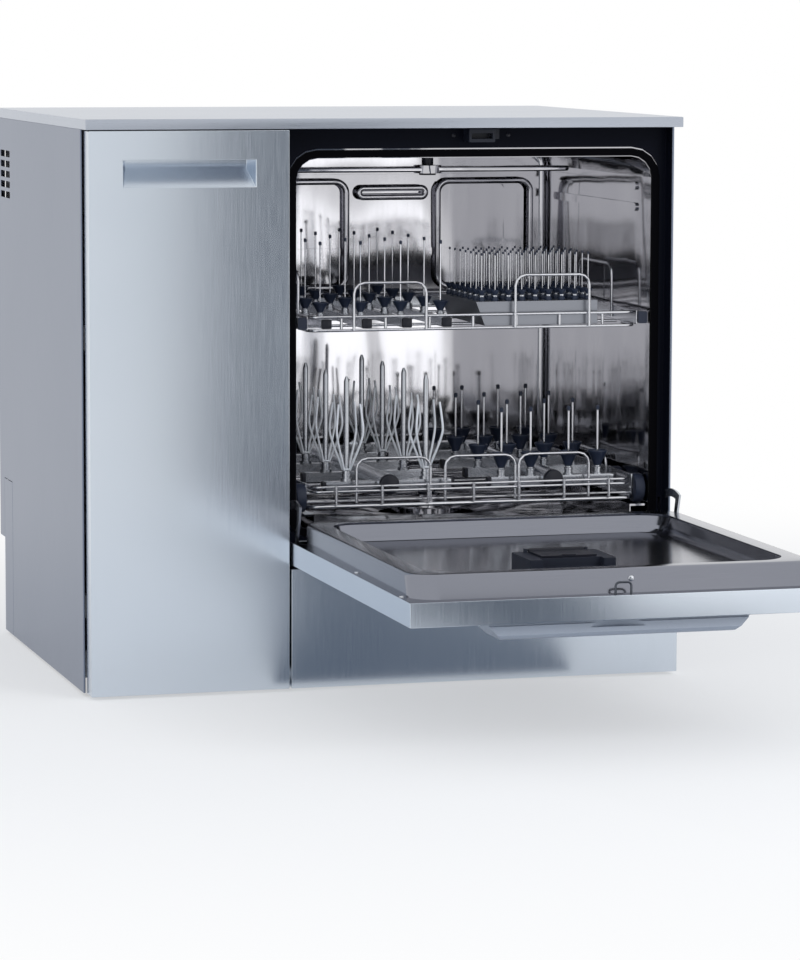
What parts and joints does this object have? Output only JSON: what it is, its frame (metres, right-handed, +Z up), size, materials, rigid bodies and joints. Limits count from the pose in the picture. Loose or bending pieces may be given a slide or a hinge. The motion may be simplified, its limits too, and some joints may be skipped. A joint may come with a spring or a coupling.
{
  "type": "laboratory glassware washer",
  "caption": "Undercounter laboratory glassware washer with a drop-down door, pull-out injector baskets on wheels and runners, and a tall supply drawer beside the wash chamber.",
  "frame": {"origin": "on the floor, at the centre of the footprint with the door open", "axes": "+Z up, +Y from the open door to the cabinet's back, +X to the right seen from the front"},
  "size_m": [0.9, 1.3194, 0.835],
  "materials": {
    "casing_steel": "brushed stainless steel",
    "front_steel": "brushed stainless steel",
    "worktop_steel": "brushed stainless steel",
    "chamber_steel": "bright stainless steel",
    "liner_steel": "bright pressed stainless steel",
    "wire_steel": "polished stainless wire",
    "tube_steel": "satin stainless steel",
    "bare_steel": "plain steel",
    "galvanised": "zinc-coated sheet",
    "frame_black": "navy-black satin",
    "brass_fittings": "plated brass",
    "pump_metal": "painted casting",
    "dark_plastic": "matte",
    "black_plastic": "satin",
    "navy_plastic": "satin",
    "grey_plastic": "matte",
    "white_plastic": "satin",
    "nozzle_plastic": "satin",
    "fascia_grey": "satin metallic",
    "button_grey": "satin",
    "display_glass": "clear over black",
    "seal_rubber": "matte"
  },
  "bodies": {
    "cabinet": {"base_frame": "galvanised", "levelling_feet": "black_plastic", "left_side_panel": "casing_steel", "right_side_panel": "casing_steel", "connection_panel": "casing_steel", "water_fittings": "brass_fittings", "rear_panel": "galvanised", "worktop": "worktop_steel", "partition": "galvanised", "wash_chamber": "chamber_steel", "water_ports": "dark_plastic", "door_seal": "seal_rubber", "front_frame": "frame_black", "service_panel": "front_steel", "latch_housing": "dark_plastic", "hinge_brackets": "bare_steel", "runner_channels": "chamber_steel", "sump_filter": "chamber_steel", "pumps": "pump_metal", "drying_unit": "dark_plastic", "steam_condenser": "grey_plastic", "electronics_box": "grey_plastic", "drawer_slides": "galvanised"},
    "door": {"door_panel": "front_steel", "door_liner": "liner_steel", "control_fascia": "fascia_grey", "display_window": "display_glass", "door_striker": "bare_steel", "hinge_arms": "bare_steel", "dispenser_housing": "dark_plastic"},
    "dispenser_lid": {"dispenser_lid": "black_plastic"},
    "power_button": {"power_button": "button_grey"},
    "start_button": {"start_button": "button_grey"},
    "upper_basket": {"upper_basket_frame": "wire_steel", "upper_side_rails": "wire_steel", "rail_end_caps": "navy_plastic", "upper_injector_tubes": "tube_steel", "upper_nozzles": "nozzle_plastic", "module_box": "tube_steel", "module_nozzles": "nozzle_plastic"},
    "top_spray_arm": {"top_spray_arm": "chamber_steel"},
    "bottom_spray_arm": {"bottom_spray_arm": "chamber_steel"},
    "lower_basket": {"lower_basket_frame": "wire_steel", "lower_side_plates": "tube_steel", "manifold_pipes": "tube_steel", "injector_bars": "tube_steel", "bottle_nozzles": "tube_steel", "bottle_supports": "white_plastic", "short_nozzles": "nozzle_plastic"},
    "drawer": {"drawer_front": "front_steel", "drawer_carriage": "galvanised", "canisters": "white_plastic"},
    "left_wheel_1": {"left_wheel_1": "navy_plastic"},
    "left_wheel_2": {"left_wheel_2": "navy_plastic"},
    "left_wheel_3": {"left_wheel_3": "navy_plastic"},
    "left_wheel_4": {"left_wheel_4": "navy_plastic"},
    "right_wheel_1": {"right_wheel_1": "navy_plastic"},
    "right_wheel_2": {"right_wheel_2": "navy_plastic"},
    "right_wheel_3": {"right_wheel_3": "navy_plastic"},
    "right_wheel_4": {"right_wheel_4": "navy_plastic"}
  },
  "joints": [
    {"name": "door_hinge", "type": "hinge", "parent": "cabinet", "child": "door", "pos_m": [0.15, -0.03425, 0.193], "axis": [-1, 0, 0], "range_deg": [0, 90]},
    {"name": "dispenser_lid_hinge", "type": "hinge", "parent": "door", "child": "dispenser_lid", "pos_m": [0.132, -0.41425, 0.25], "axis": [1, 0, 0], "range_deg": [-110, 0]},
    {"name": "power_button_press", "type": "slide", "parent": "door", "child": "power_button", "axis": [0, 0, 1], "range_m": [0, 0.001], "stiffness_N_per_m": 400, "springref_m": -0.001},
    {"name": "start_button_press", "type": "slide", "parent": "door", "child": "start_button", "axis": [0, 0, 1], "range_m": [0, 0.001], "stiffness_N_per_m": 400, "springref_m": -0.001},
    {"name": "upper_basket_slide", "type": "slide", "parent": "cabinet", "child": "upper_basket", "axis": [0, 1, 0], "range_m": [-0.232, 0]},
    {"name": "lower_basket_slide", "type": "slide", "parent": "cabinet", "child": "lower_basket", "axis": [0, 1, 0], "range_m": [-0.385, 0]},
    {"name": "drawer_slide", "type": "slide", "parent": "cabinet", "child": "drawer", "axis": [0, 1, 0], "range_m": [-0.42, 0]},
    {"name": "top_arm_spin", "type": "hinge", "parent": "cabinet", "child": "top_spray_arm", "pos_m": [0.15, 0.28125, 0.748], "axis": [0, 0, 1], "continuous": true},
    {"name": "bottom_arm_spin", "type": "hinge", "parent": "cabinet", "child": "bottom_spray_arm", "pos_m": [0.15, 0.28125, 0.24], "axis": [0, 0, 1], "continuous": true},
    {"name": "left_wheel_1_roll", "type": "hinge", "parent": "lower_basket", "child": "left_wheel_1", "pos_m": [-0.114, 0.05175, 0.2738], "axis": [1, 0, 0], "continuous": true},
    {"name": "left_wheel_2_roll", "type": "hinge", "parent": "lower_basket", "child": "left_wheel_2", "pos_m": [-0.114, 0.14875, 0.2738], "axis": [1, 0, 0], "continuous": true},
    {"name": "left_wheel_3_roll", "type": "hinge", "parent": "lower_basket", "child": "left_wheel_3", "pos_m": [-0.114, 0.35675, 0.2738], "axis": [1, 0, 0], "continuous": true},
    {"name": "left_wheel_4_roll", "type": "hinge", "parent": "lower_basket", "child": "left_wheel_4", "pos_m": [-0.114, 0.45375, 0.2738], "axis": [1, 0, 0], "continuous": true},
    {"name": "right_wheel_1_roll", "type": "hinge", "parent": "lower_basket", "child": "right_wheel_1", "pos_m": [0.414, 0.05175, 0.2738], "axis": [1, 0, 0], "continuous": true},
    {"name": "right_wheel_2_roll", "type": "hinge", "parent": "lower_basket", "child": "right_wheel_2", "pos_m": [0.414, 0.14875, 0.2738], "axis": [1, 0, 0], "continuous": true},
    {"name": "right_wheel_3_roll", "type": "hinge", "parent": "lower_basket", "child": "right_wheel_3", "pos_m": [0.414, 0.35675, 0.2738], "axis": [1, 0, 0], "continuous": true},
    {"name": "right_wheel_4_roll", "type": "hinge", "parent": "lower_basket", "child": "right_wheel_4", "pos_m": [0.414, 0.45375, 0.2738], "axis": [1, 0, 0], "continuous": true}
  ]
}
